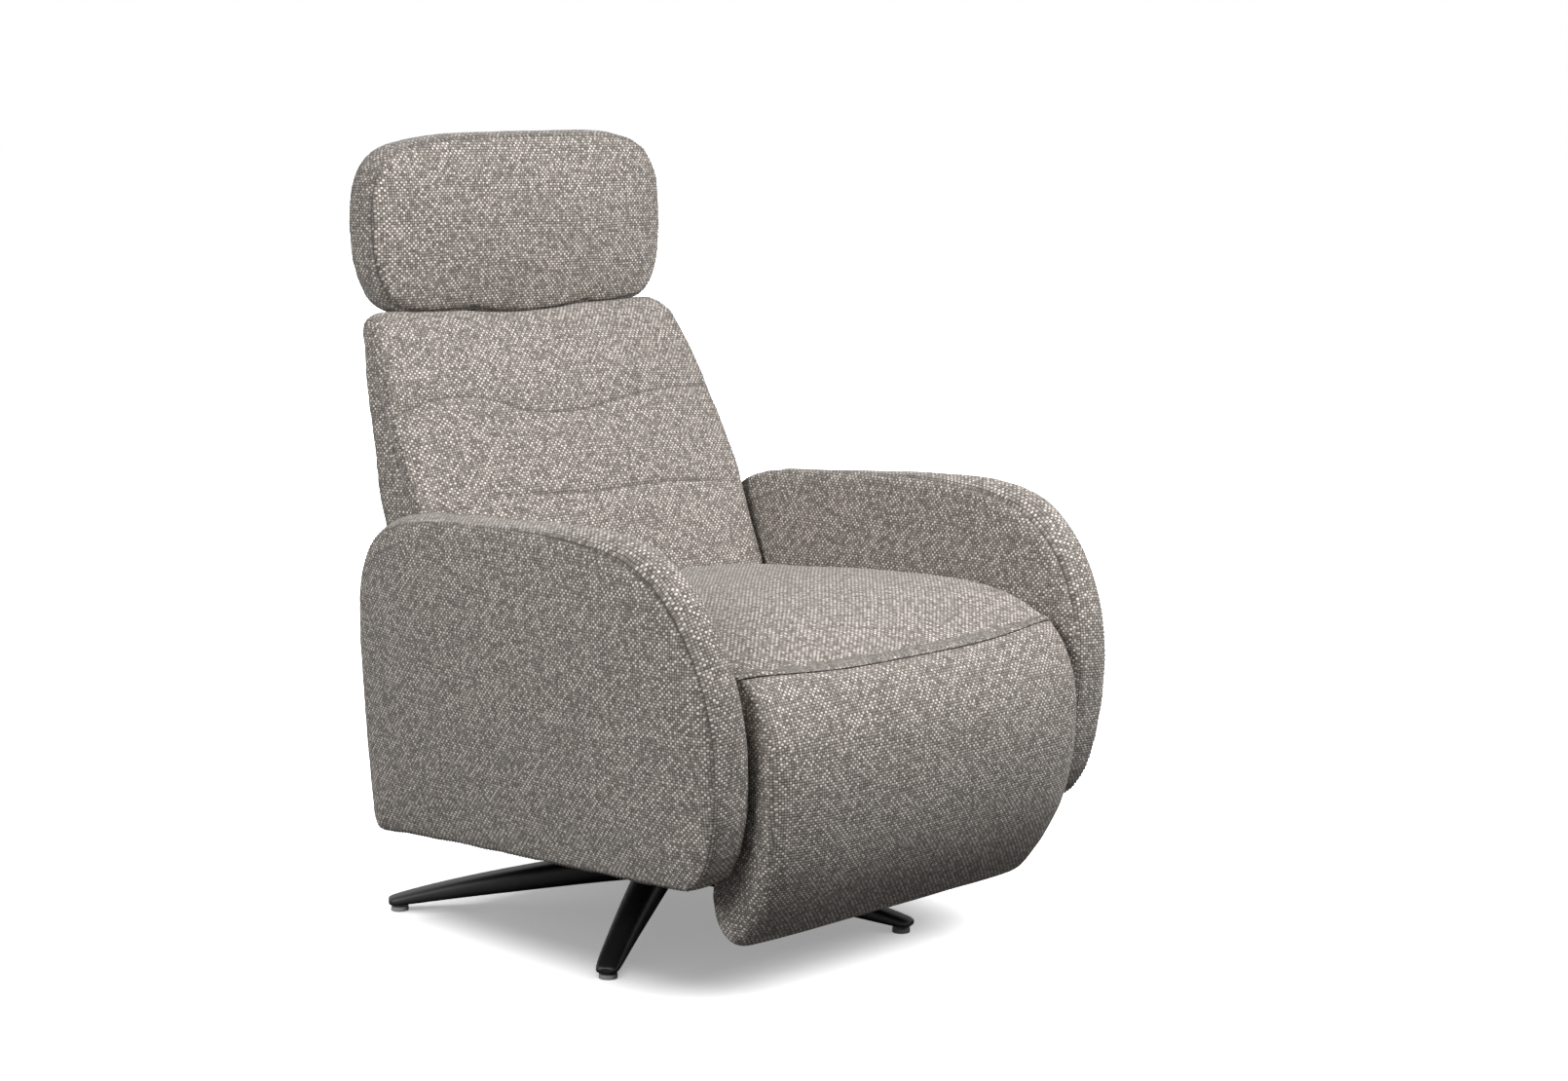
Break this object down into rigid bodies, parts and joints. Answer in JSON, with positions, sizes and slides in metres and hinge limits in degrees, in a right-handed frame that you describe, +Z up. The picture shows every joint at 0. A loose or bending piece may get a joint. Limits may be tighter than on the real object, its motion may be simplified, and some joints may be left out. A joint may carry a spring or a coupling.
{
  "type": "star base swivel recliner",
  "caption": "Swivel recliner in greige basket weave with rounded arms, a tilting headrest, a fold-out footrest and a black star base",
  "frame": {"origin": "on the floor, on the swivel axis", "axes": "+Z up, the chair faces -Y, +X to the sitter's left"},
  "size_m": [0.7907, 0.9439, 1.11],
  "materials": {
    "cast_black": "matte",
    "glide_grey": "matte",
    "black_steel": "satin",
    "zinc_steel": "satin",
    "bright_steel": "gloss",
    "cage_plastic": "matte",
    "cable_plastic": "satin",
    "plywood": "matte",
    "webbing": "matte",
    "lining": "matte",
    "greige_weave": "matte"
  },
  "bodies": {
    "base": {"star_base": "cast_black", "glides": "glide_grey", "base_bolt": "zinc_steel", "swivel_column": "black_steel", "lower_race": "zinc_steel", "ball_cage": "cage_plastic", "bearing_balls": "bright_steel", "spindle_washer": "zinc_steel", "spindle_circlip": "zinc_steel"},
    "chassis": {"swivel_housing": "black_steel", "swivel_plate": "black_steel", "chassis_rail_left": "black_steel", "chassis_rail_right": "black_steel", "footrest_bracket_left": "black_steel", "footrest_bracket_right": "black_steel", "gas_foot": "black_steel", "swivel_bolts": "zinc_steel", "upper_race": "zinc_steel", "arm_bolts_left": "zinc_steel", "arm_bolts_right": "zinc_steel", "footrest_pins": "zinc_steel", "lever_pin": "zinc_steel", "gas_rod": "bright_steel", "release_cable": "cable_plastic", "lower_front_rail": "plywood", "lower_rear_rail": "plywood", "seat_front_rail": "plywood", "seat_rear_rail": "plywood", "side_panel_left": "plywood", "side_panel_right": "plywood", "arm_frame_left": "plywood", "arm_frame_right": "plywood", "arm_spacers_left": "plywood", "arm_spacers_right": "plywood", "valance_cleats": "plywood", "seat_webbing": "webbing", "dust_cover": "lining", "seat_cushion": "greige_weave", "arm_pad_left": "greige_weave", "arm_pad_right": "greige_weave", "rear_valance": "greige_weave"},
    "back": {"back_frame": "black_steel", "crank_pin": "zinc_steel", "back_cushion": "greige_weave", "back_shell": "greige_weave", "back_webbing": "webbing", "headrest_posts": "black_steel"},
    "headrest": {"headrest_core": "plywood", "headrest_pins": "zinc_steel", "headrest_cushion": "greige_weave"},
    "footrest": {"footrest_cushion": "greige_weave", "footrest_board": "plywood", "footrest_arm_left": "black_steel", "footrest_arm_right": "black_steel"},
    "gas_cylinder_body": {"gas_cylinder": "black_steel"},
    "lever": {"release_lever": "black_steel"}
  },
  "joints": [
    {"name": "swivel", "type": "hinge", "parent": "base", "child": "chassis", "pos_m": [0, 0, 0.1], "axis": [0, 0, 1], "continuous": true},
    {"name": "recline", "type": "hinge", "parent": "chassis", "child": "back", "pos_m": [0, 0.11, 0.4], "axis": [-1, 0, 0], "range_deg": [0, 38]},
    {"name": "headrest_tilt", "type": "hinge", "parent": "back", "child": "headrest", "pos_m": [0, 0.34107, 0.87587], "axis": [-1, 0, 0], "range_deg": [-15, 15]},
    {"name": "footrest_swing", "type": "hinge", "parent": "chassis", "child": "footrest", "pos_m": [0, -0.49, 0.42], "axis": [-1, 0, 0], "range_deg": [0, 80]},
    {"name": "gas_slide", "type": "slide", "parent": "chassis", "child": "gas_cylinder_body", "axis": [0, -1, 0], "range_m": [0, 0.0392]},
    {"name": "release_pull", "type": "hinge", "parent": "chassis", "child": "lever", "pos_m": [-0.2926, -0.25, 0.325], "axis": [1, 0, 0], "range_deg": [0, 20], "stiffness_Nm_per_rad": 1.5, "springref_deg": -20.05}
  ],
  "couplings": [
    {"joint": "gas_slide", "follows": "recline", "m_per_rad": 0.05891}
  ]
}
